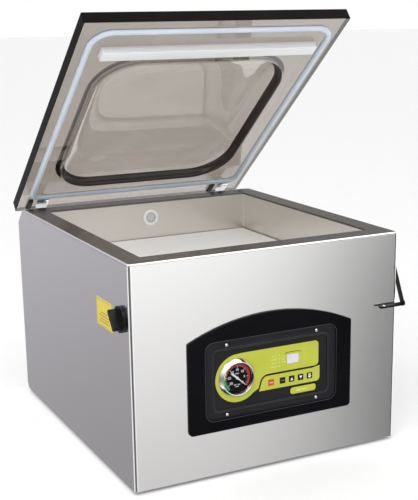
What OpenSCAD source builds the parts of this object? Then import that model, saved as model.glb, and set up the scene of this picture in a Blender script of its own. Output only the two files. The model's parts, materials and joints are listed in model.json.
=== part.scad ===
// Countertop chamber vacuum sealer.
// X runs across the machine, Y from front to back, Z up. The floor is at z = 0 and
// the origin lies under the middle of the whole machine with its lid open.

/* [Cabinet] */
// Width of the cabinet
body_w = 500; // [460:5:540]
// Depth of the cabinet
body_d = 572; // [560:2:600]
// Height of the cabinet without its feet
body_h = 374; // [360:2:400]
// Thickness of the cabinet's sheet steel
sheet = 2; // [1.5:0.5:3]
// Height that the feet hold the cabinet off the worktop
foot_h = 6; // [5:1:12]

/* [Chamber] */
// Inside width of the vacuum chamber
chamber_w = 424; // [400:2:430]
// Inside depth of the vacuum chamber, front to back
chamber_l = 453; // [440:1:455]
// Depth of the chamber below the deck
chamber_depth = 112; // [100:2:130]
// Thickness of one filler plate
filler_t = 19; // [15:1:20]
// Length of the seal bar
seal_l = 406; // [360:2:410]
// How far the seal bar rises to meet the lid
seal_lift = 10; // [6:1:12]

/* [Lid] */
// Thickness of the clear lid
lid_t = 21; // [15:1:24]
// Angle at which the lid stands open
lid_angle = 39.6; // [30:0.2:45]
// Inside depth of the lid's dome, from the lid's underside
dome_depth = 30; // [24:1:36]
// Gap between the closed lid and the deck
lid_gap = 6; // [5.5:0.5:8]

/* [Controls] */
// Width of the black fascia
fascia_w = 308; // [280:4:320]
// Outside diameter of the vacuum gauge
gauge_d = 62; // [50:1:64]
// Travel of a key
key_travel = 0.6; // [0.3:0.1:0.8]
// Diameter of the mains switch's knob
knob_d = 43; // [36:1:46]
// Distance from the hold-down latch's pivot to its tab
latch_r = 91; // [88:1:94]

/* [Hidden] */
$fn = 48;
eps = 0.01;

// Cabinet
front_y = -300;
base_z = foot_h;
deck_z = base_z + body_h;
rear_y = front_y + body_d;
bend_r = 6;
deck_t = 3;
seam = 0.4;
chamfer_run = 32;
chamfer_drop = 30;
slope_y = rear_y - chamfer_run;
deck_end_y = slope_y - 2.5;
foot_x = 205;
foot_in = 48;
foot_d = 38;

// Chamber
chamber_y0 = front_y + 42;
chamber_y1 = chamber_y0 + chamber_l;
chamber_z = deck_z - chamber_depth;
wall = 2;
filler_y0 = chamber_y0 + 62;
filler_y1 = chamber_y1 - 5;
filler_w = chamber_w - 8;
filler_z = chamber_z + 0.5;
vent_z = deck_z - 32;
vent_d = 32;
seal_y = front_y + 66;
seal_w = 16;
seal_h = 20;
plunger_x = 150;
plunger_r = 7;
cylinder_r = 17;
cylinder_h = 52;
running = 0.05;

// Lid, described closed
lid_w = 495;
lid_y0 = front_y - 7;
lid_y1 = front_y + 572;
lid_z = deck_z + lid_gap;
hinge_y = rear_y - 14;
hinge_z = deck_z - 41;
hinge_x = 200;
pin_r = 5;
eye_r = 11;
arm_w = 24;
plate_t = 5;
plate_y0 = hinge_y - 30;
plate_y1 = hinge_y + 12;
lid_bolt_x = 7;
lid_bolt_y = plate_y0 + 9;
lid_bolt_r = 3;
clevis_x0 = -40;
clevis_x1 = 12.5;
ear_t = 8;
gasket_w = 11;
gasket_groove = 5;
gasket_y0 = front_y + 12;
gasket_y1 = front_y + 528;
gasket_out = 461;
dome_w = 364;
dome_y0 = front_y + 110;
dome_y1 = front_y + 492;
dome_r = 74;
dome_wall = 9;
pad_y0 = seal_y - 11.5;
pad_y1 = seal_y + 11.5;
holder_h = 5;
pad_h = 13;
seal_top = lid_z - pad_h - seal_lift - 1.5;
seal_z = seal_top - seal_h;

// Controls
panel_z = base_z + 163;
fascia_t = 4;
fascia_low = -86;
fascia_side = 70;
fascia_top = 105;
recess = [248, 134];
window = [214, 101];
gauge_at = [-66, 0.5];
dial_r = gauge_d / 2 - 4.5;
key_y = -18.6;
key_size = 10;
key_x = [-1.8, 20, 37.6, 55.1, 72.6];
display_at = [39.8, 17];
screw_at = [85, 59.6];
screw_r = 1.5;
cutout = [206, 94];
overlay_t = 0.8;
panel_face = 1;
face_out = panel_face + overlay_t;

// Mains switch and latch
knob_y = front_y + 32;
knob_z = base_z + 281;
knob_lean = 38;
latch_lean = 25;
latch_rest_y = front_y - 8;
latch_rest_z = base_z + 247;
latch_y = latch_rest_y + latch_r * sin(latch_lean);
latch_z = latch_rest_z + latch_r * cos(latch_lean);
latch_x = body_w / 2 + 6;
latch_t = 3;
latch_w = 8.5;
latch_reach = 48;
rivet_r = 2.4;
latch_over = acos((lid_z + lid_t + 2 - latch_z) / latch_r);
latch_turn = 180 - latch_lean + latch_over;

// Machinery under the chamber
pump_y = front_y + 360;
pump_z = base_z + 92;
motor_r = 62;
shaft_r = 7;

// Shared shapes

// Rectangle with round corners, centred
module round_rect(w, h, r) {
    square([w - 2 * r, h], center = true);
    square([w, h - 2 * r], center = true);
    for (x = [-1, 1], y = [-1, 1]) translate([x * (w / 2 - r), y * (h / 2 - r)]) circle(r);
}

// Outline from y0 to y1 with one corner radius in front and one behind
module lid_outline(w, y0, y1, front_r, back_r) {
    h = w / 2;
    polygon([
        [-h + front_r, y0], [h - front_r, y0], [h, y0 + front_r], [h, y1 - back_r],
        [h - back_r, y1], [-h + back_r, y1], [-h, y1 - back_r], [-h, y0 + front_r]
    ]);
    for (x = [-1, 1]) {
        translate([x * (h - front_r), y0 + front_r]) circle(front_r);
        translate([x * (h - back_r), y1 - back_r]) circle(back_r);
    }
}

// Plan of the cabinet, with its two bent front edges
module cabinet_plan(inset, r) {
    w = body_w / 2 - inset;
    translate([-w, front_y + inset + r]) square([2 * w, body_d - inset - r]);
    translate([-w + r, front_y + inset]) square([2 * (w - r), r + 1]);
    for (x = [-1, 1]) translate([x * (w - r), front_y + inset + r]) circle(r);
}

// Plan of the base pan, which fits inside the bent sheet
module pan_plan(inset) {
    w = body_w;
    intersection() {
        cabinet_plan(sheet + 0.3 + inset, bend_r);
        translate([-w, front_y]) square([2 * w, body_d - 10 - inset]);
    }
}

// Side view of the cabinet as [y, z], with the slopes at its rear corners
module cabinet_side() {
    polygon([
        [front_y - 1, base_z], [rear_y - 8, base_z], [rear_y, base_z + 10],
        [rear_y, deck_z - chamfer_drop], [slope_y, deck_z], [front_y - 1, deck_z]
    ]);
}

// Extrudes a side view, given as [y, z], across the machine
module across(x0, x1) {
    translate([x0, 0, 0]) rotate([90, 0, 90]) linear_extrude(x1 - x0) children();
}

// Places a front view, given as [x, z] from the panel's centre, and extrudes it forwards
module on_front(out, t) {
    translate([0, front_y - out, panel_z]) rotate([90, 0, 0]) linear_extrude(t) children();
}

// The four screws of the control panel, pointing forwards from the screw frame's seat
module each_screw() {
    for (x = [-1, 1], z = [-1, 1])
        translate([x * screw_at[0], front_y - 2, panel_z + z * screw_at[1]])
            rotate([90, 0, 0]) children();
}

// Rod along X
module rod_x(x0, x1, r) {
    translate([x0, 0, 0]) rotate([0, 90, 0]) cylinder(h = x1 - x0, r = r);
}

// Turns parts of the closed lid to where the lid stands open
module opened() {
    translate([0, hinge_y, hinge_z]) rotate([-lid_angle, 0, 0])
        translate([0, -hinge_y, -hinge_z]) children();
}

// Both hinges are the same part, not mirrored
module each_hinge() {
    for (x = [-hinge_x, hinge_x]) translate([x, 0, 0]) children();
}

// Cabinet

module cabinet_wrap() {
    color("gainsboro") difference() {
        intersection() {
            translate([0, 0, base_z]) linear_extrude(body_h - deck_t - seam) difference() {
                cabinet_plan(0, bend_r);
                cabinet_plan(sheet, bend_r - sheet);
            }
            across(-body_w / 2 - 1, body_w / 2 + 1) cabinet_side();
        }
        on_front(-10, 20) square(cutout, center = true);
        each_screw() cylinder(h = 20, r = screw_r, center = true);
        translate([-body_w / 2, knob_y, knob_z]) rod_x(-10, 10, 6);
        translate([body_w / 2, latch_y, latch_z]) rod_x(-10, 10, 4);
    }
}

// Louvres in a column, as slots through the rear panel
module louvres(x, z, count) {
    for (i = [0 : count - 1]) translate([x, rear_y, z + i * 12]) {
        cube([70, 12, 3], center = true);
        for (s = [-35, 35]) translate([s, 6, 0]) rotate([90, 0, 0]) cylinder(h = 12, r = 1.5);
    }
}

module rear_panel() {
    inner = body_w - 2 * sheet - 0.6;
    color("silver") difference() {
        across(-inner / 2, inner / 2) difference() {
            intersection() {
                cabinet_side();
                translate([slope_y - 12, base_z]) square([100, body_h]);
            }
            translate([-sheet, 0]) intersection() {
                cabinet_side();
                translate([front_y, base_z - 1]) square([body_d, body_h + 2]);
            }
            translate([slope_y - 20, base_z - 1]) square([19, body_h - 20]);
        }
        each_hinge() translate([-15, slope_y - 1, hinge_z - 14]) cube([30, 40, 60]);
        louvres(-120, base_z + 70, 12);
        louvres(120, base_z + 70, 12);
        translate([170, rear_y, base_z + 40]) cube([28.4, 20, 20.4], center = true);
    }
}

module base_pan() {
    color("dimgray") difference() {
        translate([0, 0, base_z]) linear_extrude(18) pan_plan(0);
        translate([0, 0, base_z + sheet]) linear_extrude(18) pan_plan(sheet);
        for (i = [-5 : 5]) translate([i * 16, front_y + 150, base_z]) {
            cube([4, 80, 10], center = true);
        }
    }
}

module feet() {
    color("black") for (x = [-foot_x, foot_x], y = [front_y + foot_in, rear_y - foot_in])
        translate([x, y, 0]) {
            cylinder(h = 1.5, r1 = foot_d / 2 - 1.5, r2 = foot_d / 2);
            translate([0, 0, 1.5]) cylinder(h = foot_h - 1.5, r = foot_d / 2);
        }
}

module deck_plate() {
    lip = 12;
    color("darkgray") difference() {
        union() {
            intersection() {
                translate([0, 0, deck_z - deck_t]) linear_extrude(deck_t) cabinet_plan(0.3, bend_r);
                translate([-body_w, front_y, 0]) cube([2 * body_w, deck_end_y - front_y, deck_z]);
            }
            translate([0, 0, deck_z - lip]) linear_extrude(lip - 1) intersection() {
                difference() {
                    cabinet_plan(sheet + 0.3, bend_r - sheet);
                    cabinet_plan(2 * sheet + 0.3, bend_r - 2 * sheet);
                }
                translate([-body_w, front_y]) square([2 * body_w, deck_end_y - front_y - 12]);
            }
        }
        translate([-chamber_w / 2, chamber_y0, deck_z - 20]) cube([chamber_w, chamber_l, 40]);
    }
}

module chamber_tub() {
    color("silver") difference() {
        translate([-chamber_w / 2 - wall, chamber_y0 - wall, chamber_z - wall])
            cube([chamber_w + 2 * wall, chamber_l + 2 * wall, chamber_depth - deck_t + wall]);
        translate([-chamber_w / 2, chamber_y0, chamber_z]) cube([chamber_w, chamber_l, 200]);
        translate([0, chamber_y1 + 5, vent_z]) rotate([90, 0, 0]) cylinder(h = 10, r = 13);
    }
}

module vent_cover() {
    color("white") translate([0, chamber_y1, vent_z]) rotate([90, 0, 0]) difference() {
        union() {
            cylinder(h = 4, r = vent_d / 2);
            translate([0, 0, -wall]) cylinder(h = wall, r = 12.9);
        }
        translate([0, 0, -wall - 1]) cylinder(h = wall + 3.5, r = 10.5);
        translate([0, 0, 3.4]) cylinder(h = 1, r = 12);
        for (i = [0 : 15]) rotate(i * 22.5) translate([6.8, -0.9, 0]) cube([3.4, 1.8, 5]);
        for (i = [0 : 7]) rotate(i * 45) translate([3, -0.8, 0]) cube([2.4, 1.6, 5]);
        cylinder(h = 5, r = 1.2);
    }
}

module filler_plate(z) {
    color("white") difference() {
        translate([-filler_w / 2, filler_y0, z]) cube([filler_w, filler_y1 - filler_y0, filler_t]);
        translate([0, filler_y0, z - 1]) cylinder(h = filler_t + 2, r = 16);
    }
}

module filler_plate_lower() filler_plate(filler_z);
module filler_plate_upper() filler_plate(filler_z + filler_t);

// Seal bar and its lift

module each_plunger() {
    for (x = [-plunger_x, plunger_x]) translate([x, seal_y, 0]) children();
}

module lift_cylinders() {
    color("silver") each_plunger() difference() {
        translate([0, 0, chamber_z]) {
            cylinder(h = cylinder_h, r = cylinder_r);
            cylinder(h = 4, r = cylinder_r + 5);
        }
        translate([0, 0, chamber_z + 4]) cylinder(h = cylinder_h, r = plunger_r + running);
    }
}

module seal_plungers() {
    color("gray") each_plunger()
        translate([0, 0, chamber_z + 8]) cylinder(h = seal_z - chamber_z - 8, r = plunger_r);
}

module seal_bar() {
    color("silver") difference() {
        translate([-seal_l / 2, seal_y - seal_w / 2, seal_z]) cube([seal_l, seal_w, seal_h]);
        for (s = [-1, 1]) translate([0, seal_y + s * seal_w / 2, seal_z + 8])
            cube([2 * seal_l, 4, 5], center = true);
    }
}

module heating_band() {
    color("sienna") for (y = [-3.5, 3.5])
        translate([-seal_l / 2, seal_y + y - 1.5, seal_top]) cube([seal_l, 3, 0.4]);
}

module seal_tape() {
    w = seal_w + 1.2;
    color("peru") difference() {
        translate([-seal_l / 2 + 4, seal_y - w / 2, seal_top - 6]) cube([seal_l - 8, w, 6.9]);
        translate([-seal_l, seal_y - seal_w / 2, seal_top - 7]) cube([2 * seal_l, seal_w, 7]);
        translate([-seal_l, seal_y - 5, seal_top - 1]) cube([2 * seal_l, 10, 1.4]);
    }
}

// Lid

// One half of the dome's form: stacked outlines that draw in towards the top
module dome_form(grow, h, from) {
    steps = [[0, 0], [0.35, 3], [0.65, 8], [0.88, 16], [1, 27]];
    hull() for (s = steps) translate([0, 0, from + s[0] * (h - from)])
        linear_extrude(eps) lid_outline(
            dome_w + 2 * (grow - s[1]), dome_y0 - grow + s[1], dome_y1 + grow - s[1],
            dome_r + grow - s[1], dome_r + grow - s[1], $fn = 40);
}

module gasket_plan(inset) {
    lid_outline(gasket_out - 2 * inset, gasket_y0 + inset, gasket_y1 - inset, 40 - inset, 24 - inset);
}

module each_lid_bolt() {
    each_hinge() for (x = [-lid_bolt_x, lid_bolt_x]) translate([x, lid_bolt_y, lid_z]) children();
}

module lid_panel() {
    color("dimgray", 0.5) opened() difference() {
        union() {
            translate([-lid_w / 2, lid_y0, lid_z]) cube([lid_w, lid_y1 - lid_y0, lid_t]);
            translate([0, 0, lid_z]) dome_form(dome_wall, dome_depth + dome_wall - 1, lid_t - 2);
        }
        translate([0, 0, lid_z]) dome_form(0, dome_depth, -1);
        translate([0, 0, lid_z - 1]) linear_extrude(gasket_groove + 1) difference() {
            gasket_plan(1);
            gasket_plan(gasket_w - 1);
        }
        each_lid_bolt() translate([0, 0, -1]) cylinder(h = lid_t + 2, r = lid_bolt_r + 0.3);
    }
}

module lid_gasket() {
    drop = lid_gap - 0.4;
    color("aliceblue") opened() union() {
        translate([0, 0, lid_z - drop]) linear_extrude(drop) difference() {
            gasket_plan(0);
            gasket_plan(gasket_w);
        }
        translate([0, 0, lid_z - 1]) linear_extrude(gasket_groove + 0.8) difference() {
            gasket_plan(1.2);
            gasket_plan(gasket_w - 1.2);
        }
    }
}

module pad_holder() {
    color("silver") opened() translate([-seal_l / 2, pad_y0, lid_z - holder_h])
        cube([seal_l, pad_y1 - pad_y0, holder_h]);
}

module seal_pad() {
    color("whitesmoke") opened() translate([-seal_l / 2, pad_y0 + 1, lid_z - pad_h])
        cube([seal_l, pad_y1 - pad_y0 - 2, pad_h - holder_h]);
}

module hinge_arms() {
    color("lightgray") opened() each_hinge() difference() {
        union() {
            translate([-arm_w / 2, plate_y0, lid_z - plate_t])
                cube([arm_w, plate_y1 - plate_y0, plate_t]);
            translate([-arm_w / 2, hinge_y - 9, hinge_z]) cube([arm_w, 18, lid_z - hinge_z - 1]);
            translate([0, hinge_y, hinge_z]) rod_x(-arm_w / 2, arm_w / 2, eye_r);
        }
        translate([0, hinge_y, hinge_z]) rod_x(-arm_w, arm_w, pin_r + running);
        for (x = [-lid_bolt_x, lid_bolt_x]) translate([x, lid_bolt_y, lid_z - plate_t - 1])
            cylinder(h = plate_t + 2, r = lid_bolt_r);
    }
}

module lid_bumpers() {
    color("black") opened() each_hinge()
        translate([-29, plate_y0, lid_z - lid_gap + 0.5]) cube([9, 32, lid_gap - 0.5]);
}

module lid_bolts() {
    color("silver") opened() each_lid_bolt() {
        translate([0, 0, -plate_t - 0.5]) cylinder(h = lid_t + plate_t + 2, r = lid_bolt_r);
        translate([0, 0, lid_t + 1.5]) difference() {
            cylinder(h = 5, r = 5);
            translate([0, 0, 2]) cylinder(h = 4, r = 2.9, $fn = 6);
        }
    }
}

module lid_washers() {
    color("black") opened() each_lid_bolt() translate([0, 0, lid_t]) difference() {
        cylinder(h = 1.5, r = 6.6);
        translate([0, 0, -1]) cylinder(h = 4, r = lid_bolt_r + 0.2);
    }
}

module hinge_blocks() {
    foot_z = hinge_z - 40;
    color("gray") each_hinge() difference() {
        union() {
            for (x = [clevis_x0, clevis_x1]) translate([x, 0, 0]) {
                translate([0, hinge_y, hinge_z]) rod_x(0, ear_t, eye_r);
                translate([0, hinge_y - eye_r, foot_z])
                    cube([ear_t, rear_y - sheet - hinge_y + eye_r, hinge_z - foot_z]);
            }
            translate([clevis_x0, hinge_y - eye_r, foot_z - 6])
                cube([clevis_x1 - clevis_x0 + ear_t, rear_y - sheet - hinge_y + eye_r, 7]);
        }
        translate([0, hinge_y, hinge_z]) rod_x(-60, 60, pin_r);
    }
}

module hinge_pins() {
    color("silver") each_hinge() translate([0, hinge_y, hinge_z]) {
        rod_x(clevis_x0 - 3, clevis_x1 + ear_t, pin_r);
        rod_x(clevis_x0 - 6, clevis_x0, pin_r + 2);
    }
}

// Close-wound springs on the pins, drawn as a stack of rings with a leg on the block
module lid_springs() {
    wire = 1.8;
    turn_r = pin_r + wire + 0.6;
    color("dimgray") each_hinge() translate([0, hinge_y, hinge_z]) {
        for (i = [0 : 3]) translate([-27 + i * 3.5, 0, 0]) rotate([0, 90, 0])
            rotate_extrude() translate([turn_r, 0]) circle(wire);
        translate([-27, turn_r - 0.2, -34]) cylinder(h = 34, r = wire - 0.3);
    }
}

// Control panel

module fascia_outline() {
    arch_rise = fascia_top - fascia_side;
    arch_r = (pow(fascia_w / 2, 2) + pow(arch_rise, 2)) / (2 * arch_rise);
    intersection() {
        translate([0, fascia_top - arch_r]) circle(arch_r, $fn = 96);
        union() {
            translate([-fascia_w / 2, fascia_low + 7]) square([fascia_w, 250]);
            translate([0, fascia_low + 20]) round_rect(fascia_w, 40, 7);
        }
    }
}

module fascia() {
    color("black") on_front(0, fascia_t) difference() {
        fascia_outline();
        round_rect(recess[0], recess[1], 16);
    }
}

module screw_frame() {
    color("dimgray") on_front(0, 2) difference() {
        round_rect(recess[0] - 0.4, recess[1] - 0.4, 15.8);
        translate([0, -0.5]) round_rect(window[0], window[1], 8);
        for (x = [-1, 1], y = [-1, 1]) translate([x * screw_at[0], y * screw_at[1]]) circle(screw_r);
    }
}

module control_plate() {
    color("dimgray") difference() {
        union() {
            on_front(0, panel_face) translate([0, -0.5])
                round_rect(window[0] - 0.4, window[1] - 0.4, 7.8);
            on_front(-sheet, sheet) square([cutout[0] - 1, cutout[1] - 1], center = true);
        }
        on_front(-10, 20) translate(gauge_at) circle(gauge_d / 2 - 0.6);
        for (x = key_x) on_front(-1.2, 10) translate([x, key_y])
            square(key_size + 0.6, center = true);
    }
}

// Green sheet: a ring round the gauge that runs into the upper panel, and the key strip
// Strip the keys sit in, and with a positive grow the gap that runs round its upper side
module key_strip(grow) {
    r = 12 + grow;
    lean = 17.4;
    corner = [-8, -18];
    side = corner - r * [cos(lean), -sin(lean)];
    foot_z = -30.5;
    foot = [side[0] - (side[1] - foot_z) * tan(lean), foot_z];
    end_r = 7;
    end_x = 92.5;
    polygon([
        foot, side, corner, corner + [0, r], [78, corner[1] + r], [end_x, corner[1] + r + 2.5],
        [end_x, foot_z + end_r], [end_x - end_r, foot_z + end_r], [end_x - end_r, foot_z]
    ]);
    translate(corner) circle(r);
    translate([end_x - end_r, foot_z + end_r]) circle(end_r);
}

// Sheet round the gauge and the display
module display_sheet() {
    difference() {
        union() {
            translate([-64.2, -0.2]) circle(gauge_d / 2 + 10.2);
            translate([12, 19.5]) round_rect(156, 44, 7);
            difference() {
                polygon([[-50, 10], [-36, -30], [-26, -25], [-6, -10], [-6, 10]]);
                key_strip(3.2);
            }
        }
        translate(gauge_at) circle(gauge_d / 2 + 2.2);
    }
}

module control_overlay() {
    color("yellowgreen") difference() {
        union() {
            on_front(panel_face, overlay_t) display_sheet();
            on_front(panel_face, overlay_t) key_strip(0);
        }
        for (x = key_x) on_front(-5, 20) translate([x, key_y])
            square(key_size + 0.6, center = true);
        on_front(-5, 20) translate(display_at) square([22.6, 16.2], center = true);
    }
}

module display_window() {
    color("lavender") on_front(panel_face, overlay_t + 0.2) translate(display_at)
        round_rect(22.4, 16, 1);
}

module mode_label() {
    color("yellowgreen") on_front(panel_face, overlay_t) translate([60.3, -40.6])
        round_rect(49.5, 11.6, 4.6);
}

module fascia_screws() {
    color("silver") each_screw() difference() {
        union() {
            cylinder(h = 1.2, r = 2.6);
            translate([0, 0, 1.2]) cylinder(h = 0.7, r1 = 2.6, r2 = 1.9);
            translate([0, 0, -6]) cylinder(h = 6.5, r = screw_r);
        }
        for (a = [0, 90]) rotate(a) translate([0, 0, 1.6]) cube([2.8, 0.7, 1.4], center = true);
    }
}

module gauge_case() {
    color("black") translate([gauge_at[0], front_y, panel_z + gauge_at[1]]) rotate([90, 0, 0])
        difference() {
            union() {
                translate([0, 0, -26]) cylinder(h = 29.5, r = gauge_d / 2 - 1);
                translate([0, 0, -40]) cylinder(h = 15, r = 7);
            }
            translate([0, 0, -24]) cylinder(h = 40, r = gauge_d / 2 - 3);
        }
}

module gauge_bezel() {
    r = gauge_d / 2;
    color("silver") translate([gauge_at[0], front_y - face_out, panel_z + gauge_at[1]])
        rotate([90, 0, 0]) rotate_extrude($fn = 96)
            polygon([[r + 2, 0], [r + 2, 0.6], [r - 2.4, 6.6], [r - 3.1, 7], [r - 3.8, 6.6],
                [r - 5.4, 2.2], [r - 5.4, 1.8], [r - 1, 1.8], [r - 1, 0]]);
}

module gauge_dial() {
    color("black") translate([gauge_at[0], front_y - 1, panel_z + gauge_at[1]])
        rotate([90, 0, 0]) difference() {
            cylinder(h = 1, r = dial_r);
            translate([0, 0, -1]) cylinder(h = 4, r = 1 + running);
        }
}

module gauge_glass() {
    color("white", 0.3) translate([gauge_at[0], front_y - 4.1, panel_z + gauge_at[1]])
        rotate([90, 0, 0]) cylinder(h = 0.8, r = dial_r - 0.8);
}

module gauge_needle() {
    lean = 42;
    color("white") translate([gauge_at[0], front_y - 2.6, panel_z + gauge_at[1]])
        rotate([90, 0, 0]) {
            rotate(-lean) linear_extrude(0.6)
                polygon([[-13, -1.9], [-13, 1.9], [0, 1.3], [21, 0.35], [21, -0.35], [0, -1.3]]);
            cylinder(h = 1, r = 2.4);
            translate([0, 0, -2.6]) cylinder(h = 2.7, r = 1);
        }
}

module key(i, paint) {
    color(paint) on_front(key_travel - 0.8, face_out + 0.8) translate([key_x[i], key_y])
        round_rect(key_size, key_size, 1.4);
}

module key_stop() key(0, "tomato");
module key_set() key(1, "black");
module key_up() key(2, "black");
module key_down() key(3, "black");
module key_hand() key(4, "black");

// Mains switch on the left side

module warning_plate() {
    color("gold") translate([-body_w / 2 - 0.6, front_y + 71, base_z + 247]) cube([0.6, 71, 47]);
}

module switch_body() {
    color("black") translate([-body_w / 2 + sheet, knob_y, knob_z]) difference() {
        translate([0, -16, -20]) cube([30, 32, 40]);
        rod_x(-1, 27, 4 + running);
    }
}

module switch_knob() {
    skirt = 5;
    grip = 13.5;
    color("black") translate([-body_w / 2, knob_y, knob_z]) {
        rod_x(-skirt - 0.5, -0.5, knob_d / 2);
        rod_x(-1, 26, 4);
        rotate([-knob_lean, 0, 0]) translate([-skirt - grip, 0, 0]) {
            translate([0, -4.5, -14]) cube([grip, 9, 28]);
            for (z = [-14, 14]) translate([0, 0, z]) rod_x(0, grip, 4.5);
        }
    }
}

// Hold-down latch on the right side

module latch_stud() {
    color("silver") translate([0, latch_y, latch_z]) {
        rod_x(body_w / 2 - 6, body_w / 2 + 1, 4);
        rod_x(body_w / 2, latch_x - 0.3, 8);
        rod_x(latch_x - 1, latch_x + latch_t + 1, 5);
        rod_x(latch_x + latch_t + 0.3, latch_x + latch_t + 4, 7.5);
    }
}

// Drawn lying on the closed lid, then turned back to where it hangs
module latch_hung() {
    translate([0, latch_y, latch_z]) rotate([latch_turn, 0, 0]) children();
}

module latch_arm() {
    tab_y = latch_r * sin(latch_over);
    tab_z = latch_r * cos(latch_over);
    color("black") latch_hung() difference() {
        union() {
            rotate([-latch_over, 0, 0]) {
                translate([latch_x, -latch_w / 2, 0]) cube([latch_t, latch_w, latch_r - 1]);
                rod_x(latch_x, latch_x + latch_t, 9);
            }
            translate([latch_x - latch_reach + latch_w / 2, tab_y - latch_w / 2, tab_z - latch_t / 2])
                cube([latch_reach + latch_t - latch_w / 2, latch_w, latch_t]);
            translate([latch_x - latch_reach + latch_w / 2, tab_y, tab_z - latch_t / 2])
                cylinder(h = latch_t, r = latch_w / 2);
            translate([0, tab_y, tab_z - 1.5]) rod_x(latch_x, latch_x + latch_t, latch_w / 2 + 1);
        }
        rod_x(latch_x - 5, latch_x + latch_t + 5, 5 + running);
        translate([latch_x - latch_reach + 10, tab_y, tab_z])
            cylinder(h = 2 * latch_t, r = rivet_r, center = true);
    }
}

module latch_rivet() {
    tab_y = latch_r * sin(latch_over);
    tab_z = latch_r * cos(latch_over);
    color("silver") latch_hung() translate([latch_x - latch_reach + 10, tab_y, tab_z])
        cylinder(h = latch_t + 0.4, r = rivet_r, center = true);
}

// Machinery

// Mains inlet: a shell with three contacts
module power_inlet() {
    color("black") translate([170, rear_y, base_z + 40]) {
        difference() {
            union() {
                translate([-14, -22, -10]) cube([28, 22, 20]);
                translate([-25, 0, -14]) cube([50, 2.5, 28]);
            }
            translate([-12, -16, -8]) cube([24, 30, 16]);
            for (x = [-20, 20]) translate([x, 5, 0]) rotate([90, 0, 0]) cylinder(h = 10, r = 1.7);
        }
        for (p = [[-7, -2.5], [0, 2.5], [7, -2.5]])
            translate([p[0] - 1, -17, p[1] - 2]) cube([2, 9, 4]);
    }
}

module vacuum_pump() {
    color("slategray") translate([0, pump_y, pump_z]) difference() {
        union() {
            translate([-200, -70, -68]) cube([120, 140, 136]);
            for (i = [0 : 7]) translate([-196 + i * 15, -78, -60]) cube([5, 156, 120]);
            translate([-180, -30, 60]) cube([60, 60, 34]);
            for (x = [-190, -100], y = [-50, 50]) translate([x, y, -90])
                cylinder(h = 26, r = 9);
            translate([-82, -30, -30]) cube([4, 60, 60]);
        }
        rod_x(-150, -60, shaft_r + running);
        translate([-160, 0, 70]) cylinder(h = 40, r = 9);
    }
}

module pump_motor() {
    color("steelblue") translate([0, pump_y, pump_z]) difference() {
        union() {
            rod_x(-78, 80, motor_r);
            translate([-50, -60, -90]) cube([100, 120, 40]);
        }
        rod_x(-74, 76, motor_r - 6);
        rod_x(-80, 90, shaft_r + running);
        translate([-40, -50, -82]) cube([80, 100, 12]);
    }
}

module motor_fan() {
    blade_r = 50;
    color("lightgray") translate([0, pump_y, pump_z]) {
        rod_x(-140, 100, shaft_r);
        rod_x(-62, 64, motor_r - 12);
        rod_x(86, 100, 16);
        for (i = [0 : 7]) rotate([i * 45, 0, 0]) translate([87, -1, 8]) cube([12, 2, blade_r - 8]);
    }
}

module fan_cowl() {
    color("dimgray") translate([0, pump_y, pump_z]) difference() {
        rod_x(80, 112, motor_r);
        rod_x(79, 109, motor_r - 4);
        for (r = [14, 26, 38]) for (i = [0 : r / 2 - 1]) rotate([i * 720 / r, 0, 0])
            translate([0, 0, r]) rod_x(100, 120, 1.8);
    }
}

module exhaust_filter() {
    color("lightgray") translate([-200, pump_y + 122, base_z + 20]) {
        cylinder(h = 150, r = 34);
        translate([0, 0, 150]) cylinder(h = 12, r1 = 34, r2 = 14);
    }
}

// Hose from the chamber's vent down to the pump's intake
module vacuum_hose() {
    r = 8;
    bend = 22;
    y0 = chamber_y1 + wall;
    intake_z = pump_z + 94;
    drop_y = y0 + bend;
    run_z = intake_z + bend;
    color("lightgray") {
        translate([0, y0, vent_z - bend]) rotate([0, 90, 0]) rotate([0, 0, 90])
            rotate_extrude(angle = 90) translate([bend, 0]) circle(r);
        translate([0, drop_y, run_z]) cylinder(h = vent_z - bend - run_z, r = r);
        translate([-160, drop_y, run_z]) rotate([0, 90, 0]) cylinder(h = 168, r = r);
        translate([-160, pump_y, run_z]) rotate([-90, 0, 0]) cylinder(h = drop_y - pump_y + r, r = r);
        translate([-160, pump_y, intake_z - 6]) cylinder(h = bend + 14, r = r);
    }
}

module release_valve() {
    color("goldenrod") translate([60, chamber_y1 + 26, base_z + 200]) {
        cube([36, 24, 24]);
        translate([18, 12, 24]) cylinder(h = 34, r = 13);
        translate([18, 12, 58]) cylinder(h = 5, r = 9);
    }
}

module transformer() {
    color("saddlebrown") translate([150, front_y + 90, base_z + sheet]) {
        difference() {
            cube([78, 66, 66]);
            for (x = [13, 47]) translate([x, -1, 13]) cube([18, 68, 40]);
        }
        difference() {
            translate([15, -10, 15]) cube([48, 86, 36]);
            translate([31, -11, 13]) cube([16, 88, 40]);
        }
    }
}

module circuit_board() {
    color("darkgreen") translate([-28, front_y + 14, panel_z - 44]) {
        cube([120, 1.6, 88]);
        translate([50, -4, 52]) cube([38, 5, 20]);
        for (i = [0 : 4]) translate([24 + i * 17.7, -3, 24]) cube([7, 4, 7]);
        translate([8, 1, 10]) cube([24, 16, 18]);
        for (i = [0 : 2]) translate([50 + i * 22, 1.6, 60]) rotate([-90, 0, 0]) cylinder(h = 18, r = 7);
    }
}

module run_capacitor() {
    color("lightgray") translate([-150, front_y + 70, base_z + 40]) {
        rotate([0, 90, 0]) cylinder(h = 95, r = 22);
        translate([20, -18, -38]) cube([12, 36, 30]);
        translate([64, -18, -38]) cube([12, 36, 30]);
    }
}

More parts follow.
